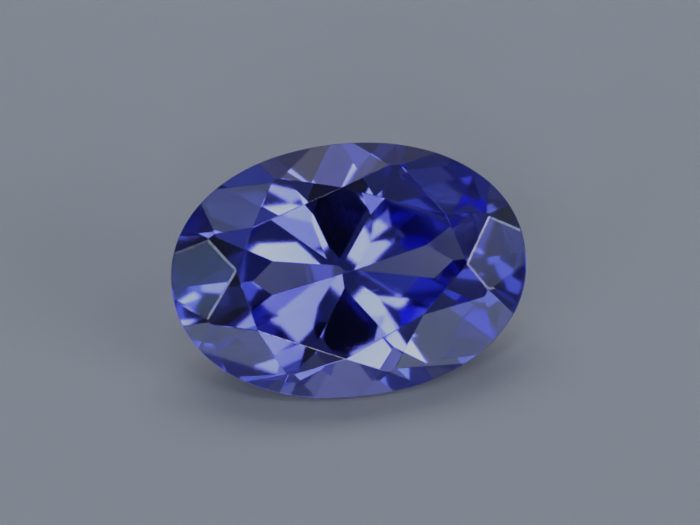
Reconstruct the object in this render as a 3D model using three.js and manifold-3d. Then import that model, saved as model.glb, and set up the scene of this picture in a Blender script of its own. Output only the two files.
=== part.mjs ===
// Oval brilliant-cut tanzanite: one loose stone, lying on the long facet at its front.
// Millimetres, +Z up, origin on the ground below the middle of the stone.
//
// The stone is cut in a frame of its own: the girdle lies in the XY plane, the long axis runs along X
// and the table faces +Z. Every facet is one flat cut across an oval blank, as on a cutter's lap.
// The finished stone is then tipped about X until its south pavilion main lies flat on the ground.
import * as THREE from "three";
import { mergeVertices } from "three/addons/utils/BufferGeometryUtils.js";
import Module from "manifold-3d";

// Driving dimensions, millimetres
const LENGTH = 7.0;
const WIDTH = 4.98;
const CROWN_HEIGHT = 0.66;
const GIRDLE_THICKNESS = 0.12;

// The outline is a superellipse: 2 is a plain ellipse, and more gives fuller shoulders
const OUTLINE_POWER = 2.12;
const OUTLINE_STEPS = 96;

// Facets are named after the compass, with north at the back, anticlockwise seen from the table.
// Angles go the same way around the outline, in degrees from east.
const COMPASS = ["E", "NE", "N", "NW", "W", "SW", "S", "SE"];
const MAIN_STEP = 45;
const QUARTER_STEP = MAIN_STEP / 4;

// Each crown main runs from a corner of the table, at an angle and a share of the way out to the
// outline, down to a stretch of the girdle between two angles. The stone is cut by hand, so they differ.
const CROWN_MAINS = {
  E: { angle: -4.5, share: 0.655, girdle: [-14, 8.5] },
  NE: { angle: 31.5, share: 0.65, girdle: [33.5, 57.5] },
  N: { angle: 90, share: 0.64, girdle: [85, 97] },
  NW: { angle: 143, share: 0.645, girdle: [133, 141] },
  W: { angle: 174, share: 0.645, girdle: [165.5, 184.5] },
  SW: { angle: 216, share: 0.68, girdle: [208, 231.5] },
  S: { angle: 264, share: 0.71, girdle: [256, 270] },
  SE: { angle: 311.5, share: 0.555, girdle: [305, 319] },
};

// Depth below the table of the star tip that follows each main, millimetres
const STAR_DROPS = { E: 0.31, NE: 0.3, N: 0.27, NW: 0.34, W: 0.33, SW: 0.28, S: 0.27, SE: 0.28 };

// The upper girdle facets are ground this far under the star tips, millimetres
const STAR_UNDERCUT = 0.03;

// A small extra facet at the east end: its inner corner on the main and its reach along the girdle
const SPOT_INNER = { angle: -9, share: 0.92 };
const SPOT_GIRDLE = [-14.5, -5];
const SPOT_DEPTH = 0.04;

// Each pavilion main has a slope in degrees from the girdle plane, and the share of the way out to the
// outline at which its plane reaches the girdle
const PAVILION_MAINS = {
  E: { slope: 32, foot: 1.095 },
  NE: { slope: 39.5, foot: 0.995 },
  N: { slope: 45, foot: 0.995 },
  NW: { slope: 41, foot: 0.985 },
  W: { slope: 31.5, foot: 1.12 },
  SW: { slope: 39.5, foot: 0.995 },
  S: { slope: 44.5, foot: 1.005 },
  SE: { slope: 39, foot: 0.985 },
};

// Slopes of the two lower girdle facets beside each pavilion main, in degrees
const LOWER_GIRDLE_SLOPES = { E: 38.5, NE: 45.5, N: 46.5, NW: 43, W: 38.5, SW: 46, S: 47, SE: 46.5 };

// Two corners closer than this are one meeting point
const MEET_TOLERANCE = 0.002;

// The blank and the cutting blocks reach this far past the stone
const BLANK_REACH = 4;
const BLOCK_SIZE = 20;

const wasm = await Module();
wasm.setup();

const DEGREE = Math.PI / 180;
const FULL_TURN = 360;
const TABLE_HEIGHT = GIRDLE_THICKNESS / 2 + CROWN_HEIGHT;
const GIRDLE_TOP = GIRDLE_THICKNESS / 2;
const GIRDLE_BOTTOM = -GIRDLE_THICKNESS / 2;
const UP = new THREE.Vector3(0, 0, 1);

function signedPower(value, power) {
  return Math.sign(value) * Math.abs(value) ** power;
}

// A point at a share of the way out to the outline, in the direction of an outline angle
function outlinePoint(angle, height, share = 1) {
  const power = 2 / OUTLINE_POWER;
  const x = (LENGTH / 2) * signedPower(Math.cos(angle * DEGREE), power);
  const y = (WIDTH / 2) * signedPower(Math.sin(angle * DEGREE), power);
  return new THREE.Vector3(share * x, share * y, height);
}

// The outline's outward direction at an outline angle
function outlineNormal(angle) {
  const power = 2 - 2 / OUTLINE_POWER;
  const x = signedPower(Math.cos(angle * DEGREE), power) / LENGTH;
  const y = signedPower(Math.sin(angle * DEGREE), power) / WIDTH;
  return new THREE.Vector3(x, y, 0).normalize();
}

// A closed three.js geometry as a solid that can be cut
function toSolid(geometry) {
  const bare = geometry.clone();
  bare.deleteAttribute("normal");
  bare.deleteAttribute("uv");
  const merged = mergeVertices(bare);
  const vertProperties = new Float32Array(merged.getAttribute("position").array);
  const triVerts = new Uint32Array(merged.index.array);
  return new wasm.Manifold(new wasm.Mesh({ numProp: 3, vertProperties, triVerts }));
}

// A cut solid as a geometry, with corners that belong to one meeting point made one
function toGeometry(solid) {
  const mesh = solid.getMesh();
  const raw = new THREE.BufferGeometry();
  raw.setAttribute("position", new THREE.BufferAttribute(mesh.vertProperties, 3));
  raw.setIndex(new THREE.BufferAttribute(mesh.triVerts, 1));
  const merged = mergeVertices(raw, MEET_TOLERANCE);
  const corners = merged.index.array;
  const kept = [];
  for (let i = 0; i < corners.length; i += 3) {
    const [a, b, c] = corners.slice(i, i + 3);
    if (a !== b && b !== c && c !== a) {
      kept.push(a, b, c);
    }
  }
  merged.setIndex(kept);
  return merged;
}

// A facet is a plane: an outward normal and a point on it
function slopedFacet(outward, slope, point) {
  const normal = outward.clone().multiplyScalar(Math.sin(slope * DEGREE));
  normal.z = -Math.cos(slope * DEGREE);
  return { normal, point };
}

function facetThrough(first, second, third) {
  const normal = new THREE.Plane().setFromCoplanarPoints(first, second, third).normal.clone();
  if (normal.dot(first) < 0) {
    normal.negate();
  }
  return { normal, point: first };
}

// The point of a given height on the ridge between two facets
function ridgePoint(first, second, height) {
  const a = first.normal;
  const b = second.normal;
  const planes = new THREE.Matrix3().set(a.x, a.y, a.z, b.x, b.y, b.z, 0, 0, 1);
  const offsets = new THREE.Vector3(a.dot(first.point), b.dot(second.point), height);
  return offsets.applyMatrix3(planes.invert());
}

function tableFacet() {
  return { normal: UP.clone(), point: new THREE.Vector3(0, 0, TABLE_HEIGHT) };
}

function tableCorner(name) {
  return outlinePoint(CROWN_MAINS[name].angle, TABLE_HEIGHT, CROWN_MAINS[name].share);
}

// The main after this one, anticlockwise
function nextName(index) {
  return COMPASS[(index + 1) % COMPASS.length];
}

// Eight kites, each from a table corner down to the girdle
function crownMains() {
  return COMPASS.map((name) => {
    const [from, to] = CROWN_MAINS[name].girdle;
    return facetThrough(tableCorner(name), outlinePoint(from, GIRDLE_TOP), outlinePoint(to, GIRDLE_TOP));
  });
}

// The outer tip of each star, on the ridge between the two mains beside it
function starTips(mains) {
  return COMPASS.map((name, index) => {
    const next = mains[(index + 1) % mains.length];
    return ridgePoint(mains[index], next, TABLE_HEIGHT - STAR_DROPS[name]);
  });
}

// Eight triangles between the table's edges and the mains
function starFacets(tips) {
  return COMPASS.map((name, index) => {
    return facetThrough(tableCorner(name), tableCorner(nextName(index)), tips[index]);
  });
}

// Two facets under each star tip, down to the girdle between two mains
function upperGirdleFacets(tips) {
  return COMPASS.flatMap((name, index) => {
    const from = CROWN_MAINS[name].girdle[1];
    const onward = CROWN_MAINS[nextName(index)].girdle[0];
    const to = onward < from ? onward + FULL_TURN : onward;
    const top = tips[index].clone();
    top.z -= STAR_UNDERCUT;
    const [first, middle, last] = [from, (from + to) / 2, to].map((angle) => outlinePoint(angle, GIRDLE_TOP));
    return [facetThrough(top, first, middle), facetThrough(top, middle, last)];
  });
}

// A small repolished spot where the east main meets the girdle
function spotFacet(eastMain) {
  const inner = outlinePoint(SPOT_INNER.angle, 0, SPOT_INNER.share);
  const run = inner.clone().sub(eastMain.point).setZ(0).dot(eastMain.normal);
  inner.z = eastMain.point.z - run / eastMain.normal.z;
  const [from, to] = SPOT_GIRDLE.map((angle) => outlinePoint(angle, GIRDLE_TOP - SPOT_DEPTH));
  return facetThrough(inner, from, to);
}

// Eight long facets from the girdle's lower edge down to the keel
function pavilionMains() {
  return COMPASS.map((name, index) => {
    const angle = MAIN_STEP * index;
    const { slope, foot } = PAVILION_MAINS[name];
    return slopedFacet(outlineNormal(angle), slope, outlinePoint(angle, GIRDLE_BOTTOM, foot));
  });
}

// Two steeper facets beside each pavilion main
function lowerGirdleFacets() {
  return COMPASS.flatMap((name, index) => {
    return [-QUARTER_STEP, QUARTER_STEP].map((turn) => {
      const middle = MAIN_STEP * index + turn;
      const first = outlinePoint(middle - QUARTER_STEP, GIRDLE_BOTTOM);
      const second = outlinePoint(middle + QUARTER_STEP, GIRDLE_BOTTOM);
      const along = second.clone().sub(first).normalize();
      const outward = along.cross(UP);
      const foot = first.lerp(second, 0.5);
      return slopedFacet(outward, LOWER_GIRDLE_SLOPES[name], foot);
    });
  });
}

// An upright oval block that holds the whole stone, with the girdle as its wall
function ovalBlank() {
  const corners = [];
  for (let step = 0; step < OUTLINE_STEPS; step += 1) {
    const { x, y } = outlinePoint((FULL_TURN * step) / OUTLINE_STEPS, 0);
    corners.push(new THREE.Vector2(x, y));
  }
  const shape = new THREE.Shape(corners);
  const geometry = new THREE.ExtrudeGeometry(shape, { depth: 2 * BLANK_REACH, bevelEnabled: false });
  geometry.translate(0, 0, -BLANK_REACH);
  return toSolid(geometry);
}

// Takes away everything on the outer side of a facet
function cutFacet(stone, facet) {
  const block = new THREE.BoxGeometry(BLOCK_SIZE, BLOCK_SIZE, BLOCK_SIZE);
  block.translate(0, 0, BLOCK_SIZE / 2);
  block.applyQuaternion(new THREE.Quaternion().setFromUnitVectors(UP, facet.normal));
  block.translate(facet.point.x, facet.point.y, facet.point.z);
  return stone.subtract(toSolid(block));
}

function cutStone() {
  const mains = crownMains();
  const tips = starTips(mains);
  const facets = [
    tableFacet(),
    ...mains,
    ...starFacets(tips),
    ...upperGirdleFacets(tips),
    spotFacet(mains[0]),
    ...pavilionMains(),
    ...lowerGirdleFacets(),
  ];
  return toGeometry(facets.reduce(cutFacet, ovalBlank()));
}

// Polished blue-violet crystal
function stoneMaterial() {
  const material = new THREE.MeshStandardMaterial({ color: 0x3d479e, roughness: 0.03, metalness: 0 });
  material.name = "tanzanite";
  return material;
}

function tanzanite() {
  const stone = new THREE.Mesh(cutStone(), stoneMaterial());
  stone.name = "tanzanite";
  stone.rotation.x = PAVILION_MAINS.S.slope * DEGREE;
  const box = new THREE.Box3().setFromObject(stone, true);
  const middle = box.getCenter(new THREE.Vector3());
  stone.position.set(-middle.x, -middle.y, -box.min.z);
  return stone;
}

const part = new THREE.Group();
part.add(tanzanite());

export default part;
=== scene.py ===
import math

import bmesh
import bpy
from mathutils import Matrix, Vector


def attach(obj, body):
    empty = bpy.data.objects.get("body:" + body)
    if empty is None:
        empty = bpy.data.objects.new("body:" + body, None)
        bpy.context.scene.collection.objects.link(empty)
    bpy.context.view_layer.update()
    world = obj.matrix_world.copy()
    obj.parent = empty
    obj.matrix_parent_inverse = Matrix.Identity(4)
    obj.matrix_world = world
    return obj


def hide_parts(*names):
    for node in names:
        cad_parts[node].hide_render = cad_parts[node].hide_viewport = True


# Oval brilliant-cut tanzanite, lying loose on one long facet. Metres, +Z up.
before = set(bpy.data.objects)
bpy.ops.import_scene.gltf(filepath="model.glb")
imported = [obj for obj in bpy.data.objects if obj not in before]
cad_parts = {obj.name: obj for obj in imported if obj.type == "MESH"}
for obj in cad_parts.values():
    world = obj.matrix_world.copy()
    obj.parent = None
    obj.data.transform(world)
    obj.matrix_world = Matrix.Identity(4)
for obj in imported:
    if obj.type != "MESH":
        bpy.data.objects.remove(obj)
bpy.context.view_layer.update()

MILLIMETRE = 0.001
NODE = "tanzanite"

# The photograph's frame and the stone's place in it, in pixels
IMAGE_WIDTH = 700
IMAGE_HEIGHT = 525
STONE_LEFT = 171.7
STONE_RIGHT = 526.0
STONE_TOP = 143.5
STONE_BOTTOM = 396.8

# Camera
CAMERA_AZIMUTH = -4.7
CAMERA_ELEVATION = 42.6
CAMERA_ROLL = 2.8
CAMERA_DISTANCE = 0.25
CAMERA_CLIP_START = 0.01
SENSOR_WIDTH = 36.0

# Stone, in millimetres: worn edges are widest round the two end facets, which stand out most in handling
CORNER_MERGE = 0.0005
CUT_TOLERANCE = 0.00001
END_EDGE_WEAR = 0.05
EDGE_WEAR = 0.014

# What tells the facets apart: a normal's part along the table's normal, across it, or along the long axis
SAME_FACET_ANGLE = math.radians(0.4)
GIRDLE_LEAN = 0.05
TABLE_LEAN = 0.1
END_FACET_LEAN = 0.985

# Roughness of the polished facets, the worn edges and the girdle
POLISH_ROUGHNESS = 0.055
WORN_ROUGHNESS = 0.13
GIRDLE_ROUGHNESS = 0.35

# Fine scratches left by polishing: long thin lines in patches, both where a noise rises through a range
SCRATCH_TURN = math.radians(28)
SCRATCH_LENGTH = 2.5 * MILLIMETRE
SCRATCH_SPACING = 0.045 * MILLIMETRE
SCRATCH_PATCH = 0.9 * MILLIMETRE
SCRATCH_LINE_RANGE = (0.6, 0.68)
SCRATCH_PATCH_RANGE = (0.5, 0.62)
SCRATCH_ROUGHNESS = 0.12

# Crystal optics: absorption is per metre of path
REFRACTIVE_INDEX = 1.694
ABSORPTION_DENSITY = 420.0
ABSORPTION_COLOUR = (0.16, 0.217, 0.835, 1.0)

# The floor lies a hair under the stone, because two flat faces never touch all over
FLOOR_GAP = 0.02 * MILLIMETRE
FLOOR_REACH = 1.5
FLOOR_COLOUR = (0.252, 0.272, 0.297, 1.0)
FLOOR_ROUGHNESS = 0.7

# Studio: brightness is radiance, angles are degrees, azimuth 0 is the front
DOME_COLOUR = (0.085, 0.097, 0.11, 1.0)
DARK_COLOUR = (0.004, 0.004, 0.005, 1.0)
DARK_AZIMUTH = 7.0
DARK_ELEVATION = 48.0
DARK_INNER = 10.0
DARK_OUTER = 14.0
WHITE = (1.0, 1.0, 1.1)
PALE_BLUE = (0.78, 0.96, 1.3)
SKY_BLUE = (0.55, 0.82, 1.7)

# Softness of a panel's edge, as a share of the panel's distance
SOFTBOX_EDGE = 0.035

# The facets mirror these panels or show them through the stone. The rim panels light the worn edges.
SOFTBOXES = {
    "right": dict(azimuth=50, elevation=25, width=30, height=18, brightness=3.2, colour=WHITE),
    "right_low": dict(azimuth=48, elevation=2, width=19, height=6, brightness=4.0, colour=WHITE),
    "right_mid": dict(azimuth=68, elevation=27, width=12, height=15.9, brightness=3.6, colour=WHITE),
    "right_up": dict(azimuth=52, elevation=42, width=8, height=6, brightness=2.4, colour=WHITE),
    "right_high": dict(azimuth=50.5, elevation=61.5, width=10, height=8, brightness=3.8, colour=WHITE),
    "right_top": dict(azimuth=69, elevation=54.5, width=8, height=6, brightness=3.8, colour=WHITE),
    "right_end": dict(azimuth=70, elevation=18.5, width=5, height=5, brightness=0.4, colour=SKY_BLUE),
    "right_far": dict(azimuth=98, elevation=32, width=40, height=24, brightness=0.2, colour=PALE_BLUE),
    "right_rim": dict(azimuth=83, elevation=22, width=5, height=5, brightness=5.0, colour=PALE_BLUE),
    "right_rim_low": dict(azimuth=65, elevation=10, width=5, height=5, brightness=4.0, colour=PALE_BLUE),
    "front": dict(azimuth=-7, elevation=28.5, width=15, height=12, brightness=5.4, colour=WHITE),
    "front_side": dict(azimuth=-18, elevation=24, width=7, height=5, brightness=5.0, colour=WHITE),
    "front_top": dict(azimuth=-12, elevation=37.5, width=6, height=5, brightness=5.4, colour=WHITE),
    "front_high": dict(azimuth=-15.5, elevation=46.5, width=4, height=4, brightness=5.0, colour=WHITE),
    "overhead": dict(azimuth=0, elevation=75, width=12, height=12, brightness=5.0, colour=PALE_BLUE),
    "left": dict(azimuth=-50, elevation=26, width=8, height=10, brightness=4.6, colour=WHITE),
    "left_up": dict(azimuth=-44, elevation=46.5, width=7, height=7, brightness=4.6, colour=WHITE),
    "left_high": dict(azimuth=-32, elevation=44.75, width=9, height=9.5, brightness=5.0, colour=WHITE),
    "left_peak": dict(azimuth=-87.5, elevation=63.5, width=4, height=4, brightness=4.5, colour=WHITE),
    "left_far": dict(azimuth=-69, elevation=31, width=6, height=5, brightness=0.85, colour=SKY_BLUE),
    "left_back": dict(azimuth=-96, elevation=54, width=8, height=6, brightness=0.15, colour=PALE_BLUE),
    "left_top": dict(azimuth=-117, elevation=59, width=8, height=8, brightness=0.75, colour=PALE_BLUE),
    "left_rim_low": dict(azimuth=-64.5, elevation=20, width=4, height=5, brightness=5.0, colour=PALE_BLUE),
    "left_rim_mid": dict(azimuth=-56.5, elevation=30.5, width=4, height=4, brightness=5.0, colour=PALE_BLUE),
    "left_rim_far": dict(azimuth=-78.5, elevation=35, width=4, height=5, brightness=4.5, colour=PALE_BLUE),
    "left_rim_high": dict(azimuth=-67, elevation=41, width=5, height=5, brightness=5.0, colour=PALE_BLUE),
    "back": dict(azimuth=165, elevation=42, width=50, height=22, brightness=0.26, colour=WHITE),
    "back_top": dict(azimuth=174, elevation=60, width=30, height=14, brightness=0.9, colour=WHITE),
}

# A light from behind that only the floor shows, for the soft shadow in front of the stone
KEY_AZIMUTH = 180.0
KEY_ELEVATION = 54.0
KEY_DISTANCE = 0.4
KEY_WIDTH = 0.4
KEY_HEIGHT = 0.14
KEY_BRIGHTNESS = 4.2

# A pale card that lies in front of the stone, hidden from the camera
CARD_NEAR = 4.0 * MILLIMETRE
CARD_FAR = 70.0 * MILLIMETRE
CARD_WIDTH = 110.0 * MILLIMETRE
CARD_BRIGHTNESS = 1.0

# Picture: light in and light out of the tone curve, and how often a ray may turn inside the stone
TONE_CURVE = [(0.0, 0.0), (0.3, 0.3), (0.5, 0.46), (0.8, 0.55), (1.0, 0.565)]
COMBINED_CHANNEL = 3
RAY_TURNS = 24


def stone_vertices():
    return [vertex.co.copy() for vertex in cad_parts[NODE].data.vertices]


def table_normal():
    """The outward direction of the stone's largest facet."""
    areas = {}
    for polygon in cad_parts[NODE].data.polygons:
        key = tuple(round(value, 3) for value in polygon.normal)
        areas[key] = areas.get(key, 0.0) + polygon.area
    return Vector(max(areas, key=areas.get)).normalized()


def facet_kind(normal, up):
    lean = normal.dot(up)
    if abs(lean) < GIRDLE_LEAN:
        return "girdle"
    return "crown" if lean > 0 else "pavilion"


def is_end_facet(normal, up):
    """True of the two crown facets at the ends of the long axis."""
    outward = normal - up * normal.dot(up)
    if facet_kind(normal, up) != "crown" or outward.length < TABLE_LEAN:
        return False
    return abs(outward.normalized().x) > END_FACET_LEAN


def edge_wear(edge, up):
    """Width of an edge's worn strip; the pavilion's edges, which nothing touches, stay sharp."""
    normals = [face.normal for face in edge.link_faces]
    kinds = {facet_kind(normal, up) for normal in normals}
    if "crown" not in kinds:
        return 0.0
    return END_EDGE_WEAR if any(is_end_facet(normal, up) for normal in normals) else EDGE_WEAR


def facet_solid():
    """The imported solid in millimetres, with one face per facet."""
    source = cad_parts[NODE].data
    solid = bmesh.new()
    corners = [solid.verts.new(corner / MILLIMETRE) for corner in stone_vertices()]
    for polygon in source.polygons:
        solid.faces.new([corners[index] for index in polygon.vertices])
    bmesh.ops.remove_doubles(solid, verts=solid.verts, dist=CORNER_MERGE)
    bmesh.ops.dissolve_limit(
        solid,
        angle_limit=SAME_FACET_ANGLE,
        verts=solid.verts,
        edges=solid.edges,
        use_dissolve_boundaries=False,
    )
    bmesh.ops.recalc_face_normals(solid, faces=solid.faces)
    return solid


def slice_off(solid, point, normal):
    """Takes away what lies outside a plane and closes the solid again."""
    everything = solid.verts[:] + solid.edges[:] + solid.faces[:]
    cut = bmesh.ops.bisect_plane(
        solid, geom=everything, dist=CUT_TOLERANCE, plane_co=point, plane_no=normal, clear_outer=True
    )
    rim = [item for item in cut["geom_cut"] if isinstance(item, bmesh.types.BMEdge)]
    if rim:
        bmesh.ops.edgeloop_fill(solid, edges=rim)


def wear_edges(solid, up):
    """A narrow flat strip along each edge of the crown, where handling has rubbed the edge away."""
    strips = []
    for edge in solid.edges:
        width = edge_wear(edge, up)
        if width > 0.0:
            first, second = (face.normal for face in edge.link_faces)
            middle = (edge.verts[0].co + edge.verts[1].co) / 2
            depth = width / 2 * math.tan(first.angle(second) / 2)
            outward = (first + second).normalized()
            strips.append((middle - outward * depth, outward))
    for point, outward in strips:
        slice_off(solid, point, outward)
    bmesh.ops.remove_doubles(solid, verts=solid.verts, dist=CORNER_MERGE)


def mark_roughness(mesh, facets, up):
    """Polished facets are nearly smooth, the girdle is finely ground, and worn edges are scuffed."""
    roughness = mesh.attributes.new("ground", "FLOAT", "FACE")
    same = math.cos(SAME_FACET_ANGLE)
    for polygon in mesh.polygons:
        worn = not any(polygon.normal.dot(normal) > same for normal in facets)
        girdle = facet_kind(polygon.normal, up) == "girdle"
        ground = GIRDLE_ROUGHNESS if girdle else POLISH_ROUGHNESS
        roughness.data[polygon.index].value = WORN_ROUGHNESS if worn else ground


def build_stone():
    up = table_normal()
    solid = facet_solid()
    facets = [face.normal.copy() for face in solid.faces]
    wear_edges(solid, up)
    bmesh.ops.recalc_face_normals(solid, faces=solid.faces)
    bmesh.ops.scale(solid, verts=solid.verts, vec=Vector((1, 1, 1)) * MILLIMETRE)
    mesh = bpy.data.meshes.new("cut_stone")
    solid.to_mesh(mesh)
    solid.free()
    mark_roughness(mesh, facets, up)
    mesh.materials.append(crystal_material())
    stone = bpy.data.objects.new("cut_stone", mesh)
    bpy.context.scene.collection.objects.link(stone)
    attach(stone, "root")
    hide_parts(NODE)


class NodeMath:
    """Short forms for the arithmetic of a node tree."""

    def __init__(self, tree):
        self.nodes = tree.nodes
        self.links = tree.links

    def feed(self, value, socket):
        if isinstance(value, bpy.types.NodeSocket):
            self.links.new(value, socket)
        else:
            socket.default_value = value

    def math(self, operation, *values):
        node = self.nodes.new("ShaderNodeMath")
        node.operation = operation
        for value, socket in zip(values, node.inputs):
            self.feed(value, socket)
        return node.outputs["Value"]

    def dot(self, vector, axis):
        node = self.nodes.new("ShaderNodeVectorMath")
        node.operation = "DOT_PRODUCT"
        self.feed(vector, node.inputs[0])
        self.feed(axis, node.inputs[1])
        return node.outputs["Value"]

    def step(self, value, low, high):
        """0 below low, 1 above high and a smooth rise between them; high may be the lower one."""
        node = self.nodes.new("ShaderNodeMapRange")
        node.interpolation_type = "SMOOTHSTEP"
        self.feed(value, node.inputs["Value"])
        node.inputs["From Min"].default_value = low
        node.inputs["From Max"].default_value = high
        return node.outputs["Result"]

    def mix(self, factor, first, second):
        node = self.nodes.new("ShaderNodeMix")
        node.data_type = "RGBA"
        self.feed(factor, node.inputs["Factor"])
        self.feed(first, node.inputs["A"])
        self.feed(second, node.inputs["B"])
        return node.outputs["Result"]


def scratches(maths):
    """Roughness of thin parallel lines that gather in patches."""
    place = maths.nodes.new("ShaderNodeTexCoord").outputs["Object"]
    stretch = maths.nodes.new("ShaderNodeMapping")
    stretch.inputs["Rotation"].default_value = (0.0, 0.0, SCRATCH_TURN)
    stretch.inputs["Scale"].default_value = (1 / SCRATCH_LENGTH, 1 / SCRATCH_SPACING, 1 / SCRATCH_LENGTH)
    maths.links.new(place, stretch.inputs["Vector"])
    lines = maths.nodes.new("ShaderNodeTexNoise")
    lines.inputs["Scale"].default_value = 1.0
    maths.links.new(stretch.outputs["Vector"], lines.inputs["Vector"])
    patches = maths.nodes.new("ShaderNodeTexNoise")
    patches.inputs["Scale"].default_value = 1 / SCRATCH_PATCH
    maths.links.new(place, patches.inputs["Vector"])
    line = maths.step(lines.outputs["Fac"], *SCRATCH_LINE_RANGE)
    patch = maths.step(patches.outputs["Fac"], *SCRATCH_PATCH_RANGE)
    return maths.math("MULTIPLY", maths.math("MULTIPLY", line, patch), SCRATCH_ROUGHNESS)


def crystal_material():
    material = bpy.data.materials.new("tanzanite_crystal")
    material.use_nodes = True
    nodes = material.node_tree.nodes
    links = material.node_tree.links
    nodes.clear()
    output = nodes.new("ShaderNodeOutputMaterial")
    surface = nodes.new("ShaderNodeBsdfPrincipled")
    surface.inputs["Base Color"].default_value = (1.0, 1.0, 1.0, 1.0)
    ground = nodes.new("ShaderNodeAttribute")
    ground.attribute_name = "ground"
    maths = NodeMath(material.node_tree)
    roughness = maths.math("MAXIMUM", ground.outputs["Fac"], scratches(maths))
    links.new(roughness, surface.inputs["Roughness"])
    surface.inputs["IOR"].default_value = REFRACTIVE_INDEX
    surface.inputs["Transmission Weight"].default_value = 1.0
    inside = nodes.new("ShaderNodeVolumeAbsorption")
    inside.inputs["Color"].default_value = ABSORPTION_COLOUR
    inside.inputs["Density"].default_value = ABSORPTION_DENSITY
    links.new(surface.outputs["BSDF"], output.inputs["Surface"])
    links.new(inside.outputs["Volume"], output.inputs["Volume"])
    return material


def build_floor():
    mesh = bpy.data.meshes.new("floor")
    reach = FLOOR_REACH
    corners = [(-reach, -reach), (reach, -reach), (reach, reach), (-reach, reach)]
    mesh.from_pydata([(x, y, -FLOOR_GAP) for x, y in corners], [], [(0, 1, 2, 3)])
    floor = bpy.data.objects.new("floor", mesh)
    bpy.context.scene.collection.objects.link(floor)
    material = bpy.data.materials.new("pale_floor")
    material.use_nodes = True
    surface = material.node_tree.nodes["Principled BSDF"]
    surface.inputs["Base Color"].default_value = FLOOR_COLOUR
    surface.inputs["Roughness"].default_value = FLOOR_ROUGHNESS
    mesh.materials.append(material)


def view_axes(azimuth, elevation):
    """Right, up and towards-the-camera directions of a level camera."""
    turn = math.radians(azimuth)
    lift = math.radians(elevation)
    right = Vector((math.cos(turn), math.sin(turn), 0.0))
    back = Vector((math.sin(turn) * math.cos(lift), -math.cos(turn) * math.cos(lift), math.sin(lift)))
    return right, back.cross(right), back


def build_camera():
    right, up, back = view_axes(CAMERA_AZIMUTH, CAMERA_ELEVATION)
    roll = math.radians(CAMERA_ROLL)
    tilted_right = right * math.cos(roll) - up * math.sin(roll)
    tilted_up = up * math.cos(roll) + right * math.sin(roll)
    across = [corner.dot(tilted_right) for corner in stone_vertices()]
    along = [corner.dot(tilted_up) for corner in stone_vertices()]
    depth = [corner.dot(back) for corner in stone_vertices()]
    metres_per_pixel = (max(across) - min(across)) / (STONE_RIGHT - STONE_LEFT)
    shift_right = (IMAGE_WIDTH - STONE_LEFT - STONE_RIGHT) / 2 * metres_per_pixel
    shift_up = (STONE_TOP + STONE_BOTTOM - IMAGE_HEIGHT) / 2 * metres_per_pixel
    aim = (
        tilted_right * ((max(across) + min(across)) / 2 + shift_right)
        + tilted_up * ((max(along) + min(along)) / 2 + shift_up)
        + back * (max(depth) + min(depth)) / 2
    )
    data = bpy.data.cameras.new("camera")
    data.sensor_fit = "HORIZONTAL"
    data.sensor_width = SENSOR_WIDTH
    data.lens = SENSOR_WIDTH * CAMERA_DISTANCE / (metres_per_pixel * IMAGE_WIDTH)
    data.clip_start = CAMERA_CLIP_START
    camera = bpy.data.objects.new("camera", data)
    bpy.context.scene.collection.objects.link(camera)
    basis = [tilted_right, tilted_up, back]
    for column, axis in enumerate(basis):
        for row in range(3):
            camera.matrix_world[row][column] = axis[row]
    camera.matrix_world.translation = aim + back * CAMERA_DISTANCE
    bpy.context.scene.camera = camera


def softbox(maths, direction, box):
    """The light of a flat soft-edged panel that faces the stone, seen in a direction."""
    right, up, back = view_axes(box["azimuth"], box["elevation"])
    ahead = maths.dot(direction, back)
    light = maths.math("MULTIPLY", maths.math("GREATER_THAN", ahead, 0.0), box["brightness"])
    for axis, angle in ((right, box["width"]), (up, box["height"])):
        offset = maths.math("ABSOLUTE", maths.math("DIVIDE", maths.dot(direction, axis), ahead))
        half = math.tan(math.radians(angle / 2))
        inside = maths.step(offset, half + SOFTBOX_EDGE / 2, half - SOFTBOX_EDGE / 2)
        light = maths.math("MULTIPLY", light, inside)
    return light


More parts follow.
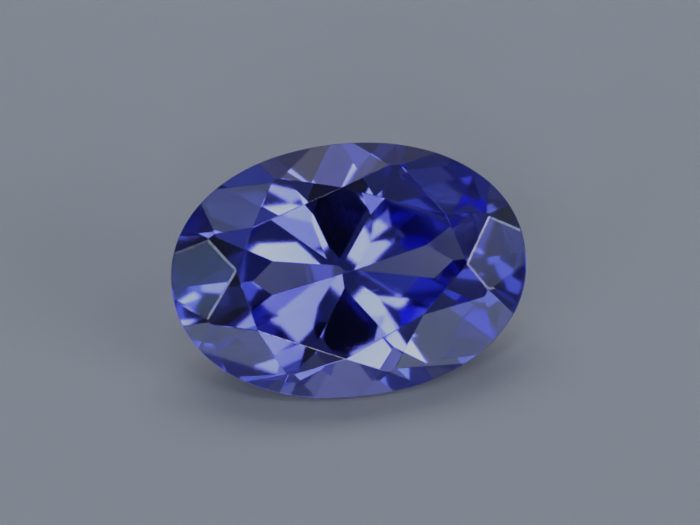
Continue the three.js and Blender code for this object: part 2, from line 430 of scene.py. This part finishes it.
def build_world():
    """A plain studio: an even dome, soft panels, and a dark patch where the camera stands."""
    world = bpy.data.worlds.new("studio")
    world.use_nodes = True
    maths = NodeMath(world.node_tree)
    direction = maths.nodes.new("ShaderNodeTexCoord").outputs["Generated"]
    near_camera = maths.dot(direction, view_axes(DARK_AZIMUTH, DARK_ELEVATION)[2])
    outer = math.cos(math.radians(DARK_OUTER))
    inner = math.cos(math.radians(DARK_INNER))
    dark = maths.step(near_camera, outer, inner)
    light = maths.mix(dark, DOME_COLOUR, DARK_COLOUR)
    for box in SOFTBOXES.values():
        total = maths.nodes.new("ShaderNodeVectorMath")
        total.operation = "MULTIPLY_ADD"
        maths.feed(softbox(maths, direction, box), total.inputs[0])
        maths.feed(box["colour"], total.inputs[1])
        maths.feed(light, total.inputs[2])
        light = total.outputs["Vector"]
    maths.links.new(light, maths.nodes["Background"].inputs["Color"])
    bpy.context.scene.world = world


def area_light(name, width, height, brightness):
    data = bpy.data.lights.new(name, "AREA")
    data.shape = "RECTANGLE"
    data.size = width
    data.size_y = height
    data.energy = brightness * math.pi * width * height
    light = bpy.data.objects.new(name, data)
    light.visible_camera = False
    bpy.context.scene.collection.objects.link(light)
    return light


def build_card():
    """The pale card in front, which the lower facets mirror; it shines instead of catching light."""
    card = area_light("front_card", CARD_WIDTH, CARD_FAR - CARD_NEAR, CARD_BRIGHTNESS)
    card.data.color = PALE_BLUE
    card.location = (0.0, -(CARD_NEAR + CARD_FAR) / 2, 0.0)
    card.rotation_euler.x = math.pi


def build_key():
    key = area_light("back_key", KEY_WIDTH, KEY_HEIGHT, KEY_BRIGHTNESS)
    towards = view_axes(KEY_AZIMUTH, KEY_ELEVATION)[2]
    key.location = towards * KEY_DISTANCE
    key.rotation_euler = towards.to_track_quat("Z", "Y").to_euler()
    key.visible_glossy = False
    key.visible_transmission = False


def soft_shoulder(view):
    """Bright colours level off early, as they do in the photograph."""
    view.use_curve_mapping = True
    mapping = view.curve_mapping
    curve = mapping.curves[COMBINED_CHANNEL]
    mapping.extend = "HORIZONTAL"
    for point in TONE_CURVE[1:-1]:
        curve.points.new(*point)
    curve.points[-1].location = TONE_CURVE[-1]
    mapping.update()


def render_settings():
    scene = bpy.context.scene
    scene.view_settings.view_transform = "Standard"
    soft_shoulder(scene.view_settings)
    scene.cycles.sampling_pattern = "TABULATED_SOBOL"
    scene.cycles.max_bounces = RAY_TURNS
    scene.cycles.transmission_bounces = RAY_TURNS
    scene.cycles.glossy_bounces = RAY_TURNS


build_stone()
build_floor()
build_camera()
build_world()
build_card()
build_key()
render_settings()
